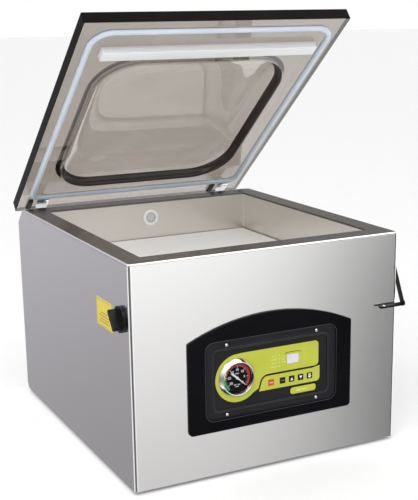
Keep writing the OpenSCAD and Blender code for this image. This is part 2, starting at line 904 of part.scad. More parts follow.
cabinet_wrap();
rear_panel();
base_pan();
feet();
deck_plate();
chamber_tub();
vent_cover();
filler_plate_upper();
filler_plate_lower();
lift_cylinders();
seal_plungers();
seal_bar();
heating_band();
seal_tape();
lid_panel();
lid_gasket();
pad_holder();
seal_pad();
hinge_arms();
lid_bumpers();
lid_bolts();
lid_washers();
hinge_blocks();
hinge_pins();
lid_springs();
fascia();
screw_frame();
control_plate();
control_overlay();
display_window();
mode_label();
fascia_screws();
gauge_case();
gauge_bezel();
gauge_dial();
gauge_glass();
gauge_needle();
key_stop();
key_set();
key_up();
key_down();
key_hand();
warning_plate();
switch_body();
switch_knob();
latch_stud();
latch_arm();
latch_rivet();
power_inlet();
vacuum_pump();
pump_motor();
motor_fan();
fan_cowl();
exhaust_filter();
vacuum_hose();
release_valve();
transformer();
circuit_board();
run_capacitor();
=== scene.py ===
import json
import math

import bmesh
import bpy
from mathutils import Matrix, Vector


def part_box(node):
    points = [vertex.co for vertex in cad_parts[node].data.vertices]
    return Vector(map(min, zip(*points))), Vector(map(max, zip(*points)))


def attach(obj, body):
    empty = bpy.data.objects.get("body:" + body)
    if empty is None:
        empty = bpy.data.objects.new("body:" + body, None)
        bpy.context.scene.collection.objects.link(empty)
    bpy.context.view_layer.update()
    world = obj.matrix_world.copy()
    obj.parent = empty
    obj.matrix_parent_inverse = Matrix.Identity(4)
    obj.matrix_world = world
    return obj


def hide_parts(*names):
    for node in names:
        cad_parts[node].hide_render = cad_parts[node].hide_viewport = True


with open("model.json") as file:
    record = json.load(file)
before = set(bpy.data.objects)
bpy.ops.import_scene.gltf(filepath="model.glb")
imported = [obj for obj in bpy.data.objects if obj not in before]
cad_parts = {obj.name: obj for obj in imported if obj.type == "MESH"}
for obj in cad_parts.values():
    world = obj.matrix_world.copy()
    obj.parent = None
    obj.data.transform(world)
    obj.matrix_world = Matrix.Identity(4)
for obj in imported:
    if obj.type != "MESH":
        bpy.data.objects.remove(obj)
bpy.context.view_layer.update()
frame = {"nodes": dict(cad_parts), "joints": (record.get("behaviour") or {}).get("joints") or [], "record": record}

# Looks of the countertop chamber vacuum sealer: finishes for every CAD node, detailed pieces
# where the CAD is plain, and a pale studio. Lengths are in metres, +Z up, the front faces -Y.

MM = 0.001
TUB_WALL = 2 * MM
scene = bpy.context.scene


# Procedural materials

def plug(material, socket, value):
    """Feeds a socket from another node's output, or sets its plain value."""
    if isinstance(value, bpy.types.NodeSocket):
        material.node_tree.links.new(value, socket)
    else:
        socket.default_value = value


def add(material, kind, inputs=None, **settings):
    """Adds one shader node. inputs maps a socket's name or number to a value or an output."""
    node = material.node_tree.nodes.new("ShaderNode" + kind)
    for key, value in settings.items():
        setattr(node, key, value)
    for key, value in (inputs or {}).items():
        plug(material, node.inputs[key], value)
    return node


def noise(material, scale, stretch=(1, 1, 1), detail=3.0):
    """Noise in the piece's own space: scale is features a metre, stretch squeezes each axis."""
    place = add(material, "TexCoord").outputs["Object"]
    mapped = add(material, "Mapping", {"Vector": place, "Scale": stretch}).outputs["Vector"]
    return add(
        material, "TexNoise", {"Vector": mapped, "Scale": scale, "Detail": detail}
    ).outputs["Fac"]


def spread(material, factor, low, high):
    """Maps a noise factor's busy middle to low and high."""
    limits = {"Value": factor, "From Min": 0.32, "From Max": 0.68, "To Min": low, "To Max": high}
    return add(material, "MapRange", limits).outputs["Result"]


def mixed(material, factor, first, second):
    """Blends two colours by a factor from 0 to 1."""
    node = add(material, "Mix", data_type="RGBA")
    for socket, value in zip((0, 6, 7), (factor, first, second)):
        plug(material, node.inputs[socket], value)
    return node.outputs[2]


def opaque(colour, scale=1.0):
    """An RGBA colour from three numbers, made lighter or darker by scale."""
    return (*(min(1.0, c * scale) for c in colour), 1.0)


def surface(name, colour, roughness, metallic=0.0, drift=0.1, clouds=9.0, grain=900.0,
            stretch=(1, 1, 1), gloss=0.06, relief=0.15, depth=0.03 * MM, **fixed):
    """A solid finish. Its colour drifts by a share in soft clouds, and a fine grain moves its
    roughness by gloss and raises a relief. Edges shade as if rounded. fixed sets other sockets."""
    material = bpy.data.materials.new(name)
    material.use_nodes = True
    shader = material.node_tree.nodes["Principled BSDF"]
    cloud = spread(material, noise(material, clouds), 0.0, 1.0)
    fine = noise(material, grain, stretch, detail=2.0)
    shade = mixed(material, cloud, opaque(colour, 1 - drift), opaque(colour, 1 + drift))
    streaked = mixed(material, spread(material, fine, 0.0, drift), shade, opaque(colour, 0.5))
    edge = add(material, "Bevel", {"Radius": 0.5 * MM}, samples=4).outputs["Normal"]
    bump = add(material, "Bump", {
        "Strength": relief, "Distance": depth, "Height": fine, "Normal": edge,
    })
    plug(material, shader.inputs["Base Color"], streaked)
    plug(material, shader.inputs["Roughness"],
         spread(material, fine, max(0.02, roughness - gloss), roughness + gloss))
    plug(material, shader.inputs["Normal"], bump.outputs["Normal"])
    shader.inputs["Metallic"].default_value = metallic
    for socket, value in fixed.items():
        shader.inputs[socket.replace("_", " ")].default_value = value
    return material


def steel(name, colour, roughness, along, brushed=1.0, **more):
    """Stainless with long fine scratches along one axis. brushed scales how much they show."""
    stretch = [1.0, 1.0, 1.0]
    stretch["xyz".index(along)] = 0.012
    return surface(name, colour, roughness, metallic=1.0, drift=0.035 * brushed, clouds=5.0,
                   grain=1400.0, stretch=stretch, gloss=0.05 * brushed, relief=0.12 * brushed,
                   depth=0.02 * MM, **more)


def plastic(name, colour, roughness, **more):
    """Moulded plastic with a very fine sparkle of texture."""
    return surface(name, colour, roughness, drift=0.12, clouds=25.0, grain=2600.0, gloss=0.05,
                   relief=0.12, **more)


def acrylic(name):
    """Smoke-tinted clear acrylic: a light tint at its faces and much more along its thickness."""
    material = bpy.data.materials.new(name)
    material.use_nodes = True
    shader = material.node_tree.nodes["Principled BSDF"]
    haze = noise(material, 14.0, detail=4.0)
    plug(material, shader.inputs["Roughness"], spread(material, haze, 0.01, 0.05))
    plug(material, shader.inputs["Base Color"], mixed(
        material, spread(material, haze, 0.0, 1.0), (0.52, 0.48, 0.44, 1), (0.56, 0.52, 0.48, 1)))
    shader.inputs["Transmission Weight"].default_value = 1.0
    shader.inputs["IOR"].default_value = 1.49
    shader.inputs["Coat Weight"].default_value = 1.0
    shader.inputs["Coat Roughness"].default_value = 0.02
    tint = add(material, "VolumeAbsorption", {"Color": (0.42, 0.34, 0.24, 1), "Density": 22.0})
    output = material.node_tree.nodes["Material Output"]
    plug(material, output.inputs["Volume"], tint.outputs["Volume"])
    return material


def lens(name):
    """Thin clear cover that lets the dial show and catches a faint highlight."""
    return surface(name, (0.02, 0.02, 0.02), 0.06, drift=0.02, gloss=0.03, relief=0.02,
                   Alpha=0.08, Specular_IOR_Level=0.3)


BLACK = (0.008, 0.008, 0.01)
LIME = (0.46, 0.49, 0.040)
CHROME = (0.78, 0.78, 0.79)

finishes = {
    # Sheet steel
    "cabinet_steel": steel("cabinet_steel", (0.96, 0.955, 0.95), 0.22, "z", brushed=0.1),
    # Painted reflection: the deck's stainless takes a dark base colour that stands in for the dark lid it
    # reflects.
    "deck_steel": steel("deck_steel", (0.15, 0.137, 0.127), 0.26, "x", brushed=0.7),
    "chamber_steel": steel("chamber_steel", (0.78, 0.745, 0.70), 0.30, "x", brushed=0.5),
    "pan_steel": steel("pan_steel", (0.42, 0.42, 0.42), 0.42, "x"),
    # Metal parts
    "bare_steel": steel("bare_steel", (0.55, 0.55, 0.56), 0.28, "x"),
    "bar_aluminium": steel("bar_aluminium", (0.72, 0.72, 0.73), 0.34, "x"),
    "chrome_plate": surface("chrome_plate", CHROME, 0.09, metallic=1.0, drift=0.03, gloss=0.03,
                            relief=0.05),
    "block_steel": surface("block_steel", (0.33, 0.33, 0.34), 0.42, metallic=1.0, drift=0.12,
                           grain=600.0, relief=0.3),
    "heating_strip": steel("heating_strip", (0.52, 0.44, 0.36), 0.33, "x"),
    "rotor_steel": surface("rotor_steel", (0.5, 0.5, 0.52), 0.38, metallic=1.0, drift=0.12),
    "valve_brass": surface("valve_brass", (0.76, 0.56, 0.24), 0.28, metallic=1.0, drift=0.15),
    "capacitor_grey": surface("capacitor_grey", (0.62, 0.62, 0.63), 0.36, metallic=1.0,
                              drift=0.08, grain=500.0),
    # Painted castings and pressings
    "pump_grey": surface("pump_grey", (0.22, 0.25, 0.28), 0.5, drift=0.14, grain=420.0,
                         gloss=0.08, relief=0.5, depth=0.15 * MM),
    "motor_blue": surface("motor_blue", (0.05, 0.13, 0.26), 0.4, drift=0.12, grain=500.0,
                          relief=0.4, depth=0.1 * MM),
    "cowl_grey": surface("cowl_grey", (0.12, 0.12, 0.13), 0.45, drift=0.15, grain=500.0,
                         relief=0.3),
    "filter_grey": surface("filter_grey", (0.55, 0.55, 0.55), 0.42, drift=0.08, grain=400.0,
                           relief=0.3),
    "core_brown": surface("core_brown", (0.16, 0.07, 0.03), 0.4, drift=0.25, grain=260.0,
                          stretch=(1, 1, 8), relief=0.4, depth=0.1 * MM),
    "board_green": surface("board_green", (0.02, 0.13, 0.05), 0.35, drift=0.2, grain=900.0),
    "latch_black": surface("latch_black", (0.006, 0.005, 0.005), 0.30, drift=0.2, grain=700.0,
                           relief=0.25, depth=0.05 * MM, Specular_IOR_Level=0.15),
    # Rubber, silicone and tape
    "rubber_black": surface("rubber_black", (0.012, 0.012, 0.013), 0.62, drift=0.3, grain=800.0,
                            gloss=0.1, relief=0.4),
    "silicone_clear": surface("silicone_clear", (0.66, 0.73, 0.83), 0.32, drift=0.05,
                              clouds=14.0, relief=0.1, Subsurface_Weight=0.4,
                              Subsurface_Radius=(0.004, 0.005, 0.007)),
    "silicone_white": surface("silicone_white", (0.83, 0.85, 0.86), 0.4, drift=0.03,
                              grain=500.0, relief=0.15, Subsurface_Weight=0.2,
                              Subsurface_Radius=(0.003, 0.003, 0.003)),
    "tape_brown": surface("tape_brown", (0.36, 0.20, 0.08), 0.42, drift=0.12, grain=1100.0,
                          stretch=(1, 3, 1), relief=0.5, depth=0.05 * MM),
    "hose_grey": surface("hose_grey", (0.55, 0.57, 0.6), 0.4, drift=0.08, grain=260.0,
                         relief=0.5, depth=0.2 * MM),
    # Mouldings
    "vent_white": plastic("vent_white", (0.94, 0.94, 0.92), 0.34),
    "filler_white": surface("filler_white", (0.93, 0.93, 0.92), 0.36, drift=0.025, clouds=7.0,
                            grain=700.0, relief=0.2, depth=0.05 * MM),
    "fascia_black": surface("fascia_black", (0.004, 0.004, 0.005), 0.22, drift=0.25, clouds=12.0,
                            grain=350.0, gloss=0.04, relief=0.04, Specular_IOR_Level=0.05),
    "panel_charcoal": plastic("panel_charcoal", (0.014, 0.013, 0.015), 0.42,
                              Specular_IOR_Level=0.15),
    "overlay_green": surface("overlay_green", LIME, 0.40, drift=0.05, clouds=30.0, grain=1800.0,
                             relief=0.12),
    "display_pale": surface("display_pale", (0.66, 0.62, 0.72), 0.25, drift=0.05, clouds=120.0,
                            Coat_Weight=0.6, Coat_Roughness=0.1),
    "case_black": plastic("case_black", (0.010, 0.010, 0.011), 0.45, Specular_IOR_Level=0.2),
    "dial_black": surface("dial_black", (0.003, 0.003, 0.003), 0.5, drift=0.2, grain=1500.0,
                          Specular_IOR_Level=0.1),
    "needle_white": surface("needle_white", (0.88, 0.88, 0.86), 0.4, drift=0.03, clouds=200.0),
    "gauge_lens": lens("gauge_lens"),
    "key_red": plastic("key_red", (0.68, 0.05, 0.02), 0.35),
    "key_black": plastic("key_black", (0.008, 0.008, 0.011), 0.32, Specular_IOR_Level=0.2),
    "label_yellow": surface("label_yellow", (0.68, 0.55, 0.07), 0.42, drift=0.05, clouds=40.0,
                            grain=1500.0),
    "knob_black": plastic("knob_black", (0.005, 0.005, 0.006), 0.36, Specular_IOR_Level=0.15),
    "acrylic_smoked": acrylic("acrylic_smoked"),
}

# Finishes of parts of a piece, or of pieces whose look differs from their slot's
holder_white = surface("holder_white", (0.80, 0.79, 0.82), 0.32, drift=0.04, grain=700.0)
# Painted shade: an opaque black finish on the lid's edge faces stands in for the darkness the tinted acrylic shows
# along its thickness.
acrylic_rim_painted_shade = surface("acrylic_rim_painted_shade", (0.006, 0.005, 0.004), 0.3, drift=0.2, clouds=20.0,
                      relief=0.03, Specular_IOR_Level=0.03)
# Painted shade: an opaque dark finish on the dome's side faces stands in for the darkness of the tinted acrylic
# seen slanting through its wall.
acrylic_wall_painted_shade = surface("acrylic_wall_painted_shade", (0.040, 0.032, 0.026), 0.16, drift=0.25, clouds=16.0,
                       relief=0.03, Specular_IOR_Level=0.3)
# Partly painted highlight: the beads' grey, lighter than the fascia's black, stands in for light caught by the
# recess edges; their shape reflects the lamps.
bead_grey_painted_highlight = surface("panel_bead", (0.035, 0.035, 0.040), 0.35, drift=0.2, clouds=40.0)

# Printing inks: the slot that each is listed with, and its material
inks = {
    "white": ("needle_white", surface("ink_white", (0.85, 0.85, 0.85), 0.4, drift=0.04)),
    "red": ("key_red", surface("ink_red", (0.72, 0.03, 0.04), 0.4, drift=0.06)),
    "amber": ("label_yellow", surface("ink_amber", (0.85, 0.56, 0.03), 0.4, drift=0.05)),
    "green": ("overlay_green", surface("ink_green", (0.03, 0.46, 0.09), 0.4, drift=0.05)),
    "lime_pale": ("overlay_green", surface("ink_lime_pale", (0.62, 0.68, 0.22), 0.4, drift=0.04)),
    "lime_dark": ("overlay_green", surface("ink_lime_dark", (0.03, 0.037, 0.01), 0.4, drift=0.1)),
    "black": ("case_black", surface("ink_black", (0.012, 0.012, 0.012), 0.4, drift=0.1)),
    "ochre": ("label_yellow", surface("ink_ochre", (0.40, 0.24, 0.03), 0.45, drift=0.08)),
    "grey": ("needle_white", surface("ink_grey", (0.22, 0.22, 0.24), 0.4, drift=0.08)),
}

for entry in frame["record"]["subparts"]:
    node_object = frame["nodes"][entry["node"]]
    node_object.data.materials.clear()
    node_object.data.materials.append(finishes[entry["material_slot"]])
frame["nodes"]["pad_holder"].data.materials[0] = holder_white


# Softened edges on the CAD nodes that are seen close up

def soften(node, width):
    """Merges a node's coplanar facets and rounds its hard edges by a modifier."""
    piece = frame["nodes"][node]
    weld = piece.modifiers.new("weld", "WELD")
    weld.merge_threshold = 0.002 * MM
    flat = piece.modifiers.new("flat", "DECIMATE")
    flat.decimate_type = "DISSOLVE"
    flat.angle_limit = math.radians(0.5)
    edge = piece.modifiers.new("edge", "BEVEL")
    edge.width = width
    edge.segments = 2
    edge.limit_method = "ANGLE"
    edge.angle_limit = math.radians(32.0)
    edge.harden_normals = True


SOFT_EDGES = {
    "seal_pad": 1.2 * MM, "pad_holder": 0.5 * MM, "lid_bumpers": 0.8 * MM, "feet": 1.0 * MM,
    "key_stop": 0.3 * MM, "key_set": 0.3 * MM, "key_up": 0.3 * MM, "key_down": 0.3 * MM,
    "key_hand": 0.3 * MM, "mode_label": 0.2 * MM, "display_window": 0.2 * MM,
    "filler_plate_upper": 1.0 * MM, "filler_plate_lower": 1.0 * MM, "warning_plate": 0.15 * MM,
    "fascia": 0.7 * MM, "screw_frame": 0.4 * MM,
}
for softened, edge_width in SOFT_EDGES.items():
    soften(softened, edge_width)


# Mesh building

def piece_from(name, points, faces, material, body, replaces=(), turn=None, sharp=35.0,
               trims=()):
    """Makes a closed smooth-shaded piece, parents it to its body and hides the CAD nodes that it replaces. trims
    is pairs of a material and the numbers of the faces that take it instead."""
    mesh = bpy.data.meshes.new(name)
    mesh.from_pydata([Vector(p) for p in points], [], faces)
    for index, (_, numbers) in enumerate(trims, 1):
        for number in numbers:
            mesh.polygons[number].material_index = index
    if turn is not None:
        mesh.transform(turn)
    shape = bmesh.new()
    shape.from_mesh(mesh)
    bmesh.ops.remove_doubles(shape, verts=shape.verts, dist=0.001 * MM)
    bmesh.ops.recalc_face_normals(shape, faces=shape.faces)
    shape.to_mesh(mesh)
    shape.free()
    mesh.shade_smooth()
    mesh.set_sharp_from_angle(angle=math.radians(sharp))
    mesh.materials.append(material)
    for trim, _ in trims:
        mesh.materials.append(trim)
    piece = bpy.data.objects.new(name, mesh)
    scene.collection.objects.link(piece)
    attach(piece, body)
    if replaces:
        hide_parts(*replaces)


def rounded_loop(width, y0, y1, front_r, back_r, z, steps=14):
    """Points round a rectangle with round corners. Every size gives the same number of points."""
    x = width / 2
    corners = [(x - front_r, y0 + front_r, front_r, -90), (x - back_r, y1 - back_r, back_r, 0),
               (back_r - x, y1 - back_r, back_r, 90), (front_r - x, y0 + front_r, front_r, 180)]
    points = []
    for cx, cy, r, start in corners:
        for i in range(steps + 1):
            a = math.radians(start + 90 * i / steps)
            points.append((cx + r * math.cos(a), cy + r * math.sin(a), z))
    return points


def lofted(loops, ring=False, caps=False):
    """Points and quads between loops of one length. ring joins the last loop to the first."""
    count = len(loops[0])
    points = [p for loop in loops for p in loop]
    spans = len(loops) if ring else len(loops) - 1
    faces = []
    for i in range(spans):
        here, there = i * count, (i + 1) % len(loops) * count
        for j in range(count):
            k = (j + 1) % count
            faces.append((here + j, here + k, there + k, there + j))
    if caps:
        faces.append(tuple(range(count)))
        faces.append(tuple(range((len(loops) - 1) * count, len(loops) * count)))
    return points, faces


# The lid's pieces are described closed and then turned open about the hinge

hinge = next(j for j in frame["joints"] if j["name"] == "lid_hinge")
hinge_at = Vector(hinge["pos_m"])
lid_opening = math.radians(hinge["range_deg"][1])
opened = (
    Matrix.Translation(hinge_at)
    @ Matrix.Rotation(-lid_opening, 4, "X")
    @ Matrix.Translation(-hinge_at)
)
closed = opened.inverted()


def closed_box(node):
    """A lid node's lowest and highest corners with the lid closed."""
    places = [closed @ v.co for v in frame["nodes"][node].data.vertices]
    low = Vector(min(p[i] for p in places) for i in range(3))
    high = Vector(max(p[i] for p in places) for i in range(3))
    return low, high


def lid_slab():
    """The smoked lid: a thick slab whose middle is blown up into a shallow dome."""
    low, high = closed_box("lid_panel")
    thickness, dome_depth, dome_wall = 21 * MM, 30 * MM, 8 * MM
    mouth_w, mouth_y0, mouth_y1, mouth_r = 364 * MM, -190 * MM, 192 * MM, 74 * MM
    lip, edge, corner = 6 * MM, 0.8 * MM, 2.5 * MM
    # A higher power makes the dome's side steeper and its crown flatter
    side_power = 8.0
    # Degrees that the lip curves before the side goes on
    lip_turn = 75
    # Rings of faces that take the side's dark finish, a painted shade, counted in from the flat
    painted_wall_start, painted_wall_end = 4, 15
    steps = 12
    keep_flat = 0.7 * MM

    def outline(inset, z):
        """A loop round the slab's edge."""
        return rounded_loop(high.x - low.x - 2 * inset, low.y + inset, high.y - inset,
                            corner - inset, corner - inset, z)

    def dome(grow, scale, z):
        """A loop round the dome, grown outwards and then scaled about the lid's middle."""
        half_y = ((mouth_y1 - mouth_y0) / 2 + grow) * scale
        middle_y = (mouth_y0 + mouth_y1) / 2
        r = (mouth_r + grow) * scale
        return rounded_loop((mouth_w + 2 * grow) * scale, middle_y - half_y, middle_y + half_y,
                            r, r, z)

    def bulge(base, depth, grow):
        """Loops from the flat in over the lip, up the side and on to the gently arched crown."""
        loops = [dome(grow + lip + keep_flat, 1, base)]
        for i in range(steps // 2 + 1):
            a = math.radians(lip_turn * i / (steps // 2))
            loops.append(dome(grow + lip * (1 - math.sin(a)), 1, base + lip * (1 - math.cos(a))))
        rise = lip * (1 - math.cos(math.radians(lip_turn)))
        for i in range(1, 2 * steps):
            a = math.radians(90 * i / (2 * steps))
            scale = math.cos(a) ** (2 / side_power)
            loops.append(dome(grow, scale, base + rise + (depth - rise) * math.sin(a)))
        return loops

    under = bulge(low.z, dome_depth, 0.0)
    over = bulge(low.z + thickness, dome_depth + dome_wall - thickness, dome_wall)
    inner, top = edge + keep_flat, low.z + thickness
    sides = [outline(inner, low.z), outline(edge, low.z), outline(0, low.z + edge),
             outline(0, top - edge), outline(edge, top), outline(inner, top)]
    points, faces = lofted(under[::-1] + sides + over, caps=True)
    loop = len(under[0])
    shaded_rim_faces = range((len(under) + 1) * loop, (len(under) + 4) * loop)
    shaded_wall_faces = range((len(under) - painted_wall_end) * loop, (len(under) - painted_wall_start) * loop)
    # The rim and the dome's side take painted shade: opaque dark finishes stand in for the tinted acrylic's
    # darkness along its thickness.
    piece_from("lid_slab", points, faces, finishes["acrylic_smoked"],
               "lid", ["lid_panel"], opened, sharp=30.0,
               trims=[(acrylic_rim_painted_shade, shaded_rim_faces), (acrylic_wall_painted_shade, shaded_wall_faces)])


def gasket():
    """The lid's silicone seal: a bead round the underside, its foot held in a groove."""
    low, high = closed_box("lid_gasket")
    band, step_in = 11 * MM, 1.2 * MM
    flat_z = closed_box("lid_panel")[0].z
    front_r, back_r = 40 * MM, 24 * MM
    middle, drop = band / 2, flat_z - low.z
    profile = [(step_in, high.z), (step_in, flat_z)]
    for i in range(13):
        a = math.radians(180 * i / 12)
        profile.append((middle - middle * math.cos(a), flat_z - drop * math.sin(a)))
    profile += [(band - step_in, flat_z), (band - step_in, high.z)]
    loops = [
        rounded_loop(high.x - low.x - 2 * d, low.y + d, high.y - d, front_r - d, back_r - d, z)
        for d, z in profile
    ]
    points, faces = lofted(loops, ring=True)
    piece_from("gasket_bead", points, faces, finishes["silicone_clear"],
               "lid", ["lid_gasket"], opened)


lid_slab()
gasket()


# The deck: folded sheet with soft outer bends and a rolled lip round the chamber

def deck_sheet():
    """The deck's sheet, as a ring of loops from its fold up over the outer bend to the mouth."""
    low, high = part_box("deck_plate")
    mouth_low, mouth_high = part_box("chamber_tub")
    sheet_t, fold, bend, roll = 1.2 * MM, 12 * MM, 6 * MM, 1.2 * MM
    round_r, square_r, facets = 2.4 * MM, 0.4 * MM, 6
    fold_in, margin = 1.5 * MM, 0.5 * MM
    plate_z = high.z - 3 * MM
    quarter = [math.radians(90 * i / facets) for i in range(facets + 1)]

    def outer(inset, z):
        """A loop round the cabinet's outline."""
        front_r = max(bend - inset, square_r)
        return rounded_loop(high.x - low.x - 2 * inset, low.y + inset, high.y - inset,
                            front_r, square_r, z)

    def inner(out, z):
        """A loop round the chamber's mouth."""
        return rounded_loop(mouth_high.x - mouth_low.x - 2 * TUB_WALL + 2 * out,
                            mouth_low.y + TUB_WALL - out, mouth_high.y - TUB_WALL + out,
                            square_r, square_r, z)

    loops = [outer(fold_in + sheet_t, high.z - fold), outer(fold_in, high.z - fold),
             outer(fold_in, plate_z), outer(0, plate_z)]
    loops += [outer(round_r * (1 - math.cos(a)), high.z - round_r * (1 - math.sin(a)))
              for a in quarter]
    loops += [outer(round_r + margin, high.z), inner(roll + margin, high.z)]
    loops += [inner(roll * (1 - math.sin(a)), high.z - roll * (1 - math.cos(a)))
              for a in quarter]
    loops += [inner(0, plate_z), outer(fold_in + sheet_t, plate_z)]
    points, faces = lofted(loops, ring=True)
    loop = len(loops[0])
    # The outer bend keeps the cabinet's bright steel; the rest takes the deck finish, whose dark colour is a
    # painted reflection of the lid.
    bright_bend = range(2 * loop, (4 + facets) * loop)
    piece_from("deck_sheet", points, faces, finishes["deck_steel"],
               "cabinet", ["deck_plate"], trims=[(finishes["cabinet_steel"], bright_bend)])


deck_sheet()


# Weld beads up the chamber's corners

def weld_bead(name, x, y, z0, z1, r):
    """A thin rippled bead of weld that fills an inside corner."""
    rings = 60
    ripple, ripple_step = 0.12, 2.6
    loops = []
    for i in range(rings + 1):
        z = z0 + (z1 - z0) * i / rings
        swell = r * (1 + ripple * math.sin(ripple_step * i))
        loops.append([
            (x + swell * math.cos(a), y + swell * math.sin(a), z)
            for a in (math.tau * k / 10 for k in range(10))
        ])
    points, faces = lofted(loops, caps=True)
    piece_from(name, points, faces, finishes["chrome_plate"], "cabinet")


tub_low, tub_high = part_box("chamber_tub")
for side_name, weld_x in (("left", tub_low.x + TUB_WALL), ("right", tub_high.x - TUB_WALL)):
    for end_name, weld_y in (("front", tub_low.y + TUB_WALL), ("rear", tub_high.y - TUB_WALL)):
        weld_bead(f"chamber_weld_{end_name}_{side_name}", weld_x, weld_y,
                  tub_low.z + TUB_WALL, tub_high.z - 1 * MM, 0.9 * MM)


# Printed marks on faces that look to -Y: thin films of ink, drawn in X and Z

FILM = 0.12 * MM


def disc(x, z, r, steps=24):
    """Outline of a round mark."""
    return [(x + r * math.cos(math.tau * i / steps), z + r * math.sin(math.tau * i / steps))
            for i in range(steps)]


def bar(x, z, width, height):
    """Outline of a level mark, centred."""
    return [(x - width / 2, z - height / 2), (x + width / 2, z - height / 2),
            (x + width / 2, z + height / 2), (x - width / 2, z + height / 2)]


def sector(x, z, inner, outer, start, end, steps=24):
    """Outline of a piece of a ring, from start to end degrees round from +X."""
    angles = [math.radians(start + (end - start) * i / steps) for i in range(steps + 1)]
    return ([(x + outer * math.cos(a), z + outer * math.sin(a)) for a in angles]
            + [(x + inner * math.cos(a), z + inner * math.sin(a)) for a in reversed(angles)])


def printed(name, outlines, y, ink, body="cabinet", thick=FILM):
    """One film of ink: each outline becomes a thin plate standing out from the face at y."""
    points, faces = [], []
    for outline in outlines:
        start, count = len(points), len(outline)
        points += [(x, y, z) for x, z in outline]
        points += [(x, y - thick, z) for x, z in outline]
        faces.append(tuple(range(start, start + count)))
        faces.append(tuple(range(start + count, start + 2 * count)))
        for i in range(count):
            j = (i + 1) % count
            faces.append((start + i, start + j, start + count + j, start + count + i))
    slot, material = inks[ink]
    piece_from(name, points, faces, material, body)


def middle_of(node):
    """Centre of a node in X and Z, and the Y of its front face."""
    low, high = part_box(node)
    return (low.x + high.x) / 2, (low.z + high.z) / 2, low.y


# Thin raised beads round the panel's recess and round its window, standing in for the highlights on the fascia's
# edges: their shape reflects the lights, and their lighter grey is a painted highlight

def panel_bead(name, width, height, corner, y):
    """A half-round bead on the face at y, round a rectangle centred on the screw frame."""
    x, z, _ = middle_of("screw_frame")
    r = 0.45 * MM
    profile = [(r * math.cos(math.radians(180 * i / 8)), r * math.sin(math.radians(180 * i / 8)))
               for i in range(9)]
    loops = [
        rounded_loop(width - 2 * d, d - height / 2, height / 2 - d, corner - d, corner - d, out)
        for d, out in profile
    ]
    points, faces = lofted(loops, ring=True)
    turn = Matrix.Translation((x, y, z)) @ Matrix.Rotation(math.radians(90), 4, "X")
    piece_from(name, points, faces, bead_grey_painted_highlight, "cabinet",
               turn=turn)


def panel_beads():
    """One bead round the recess in the fascia, and two round the screw frame's window."""
    low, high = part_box("screw_frame")
    gap, recess_r = 1 * MM, 16 * MM
    window_w, window_h, window_r = 214 * MM, 101 * MM, 8 * MM
    panel_bead("recess_bead", high.x - low.x + gap, high.z - low.z + gap, recess_r,
               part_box("fascia")[0].y)
    for name, grow in (("window_bead", 1.0 * MM), ("window_bead_outer", 3.4 * MM)):
        panel_bead(name, window_w + 2 * grow, window_h + 2 * grow, window_r + grow, low.y)


def vent_shadow():
    """A painted shadow: a black film just behind the vent's grille that stands in for the shade in the pipe behind
    it.
    """
    x, z, front = middle_of("vent_cover")
    behind, pipe_r = 1.75 * MM, 10.3 * MM
    printed("vent_shadow", [disc(x, z, pipe_r, 32)], front + behind, "black", thick=0.1 * MM)


panel_beads()
vent_shadow()


# Gauge dial: coloured bands, ticks and numbers

DIAL_ZERO = -42.0
DIAL_SWEEP = 260.0
DIAL_STEPS = 6


def dial_angle(reading):
    """Degrees round from +X for a reading from 0 to 1, which runs anticlockwise."""
    return DIAL_ZERO + DIAL_SWEEP * reading


def dial_place():
    """The dial's centre in X and Z, the Y of its face, and its radius."""
    low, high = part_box("gauge_dial")
    return *middle_of("gauge_dial"), (high.x - low.x) / 2


def dial_marks():
    """The coloured bands, the teeth cut into the red one, the ticks and the unit's dashes."""
    x, z, y, r = dial_place()
    band_out, band_in = 0.93 * r, 0.79 * r
    for ink, start, end in (("red", 0.0, 0.74), ("amber", 0.745, 0.86), ("green", 0.865, 1.06)):
        arc = sector(x, z, band_in, band_out, dial_angle(start), dial_angle(end), steps=48)
        printed(f"dial_band_{ink}", [arc], y, ink)
    teeth = []
    for i in range(1, 40):
        a = dial_angle(0.72 * i / 40)
        root = 0.83 * r if i % 5 else band_in
        teeth.append(sector(x, z, root, 0.95 * r, a - 0.7, a + 0.7, 1))
    printed("dial_teeth", teeth, y, "black", thick=1.6 * FILM)
    ticks = []
    for i in range(DIAL_STEPS * 5 + 1):
        a = dial_angle(i / (DIAL_STEPS * 5))
        root, half = (0.72, 0.6) if i % 5 else (0.66, 1.3)
        ticks.append(sector(x, z, root * r, 0.78 * r, a - half, a + half, 1))
    printed("dial_ticks", ticks, y, "white")
    unit_marks = [bar(x + s * 0.13 * r, z - 0.44 * r, 0.17 * r, 0.05 * r) for s in (-1, 1)]
    unit_marks += [bar(x, z - 0.56 * r, 0.24 * r, 0.04 * r)]
    unit_marks += [bar(x, z + 0.28 * r, 0.26 * r, 0.05 * r)]
    printed("dial_unit_marks", unit_marks, y, "white")


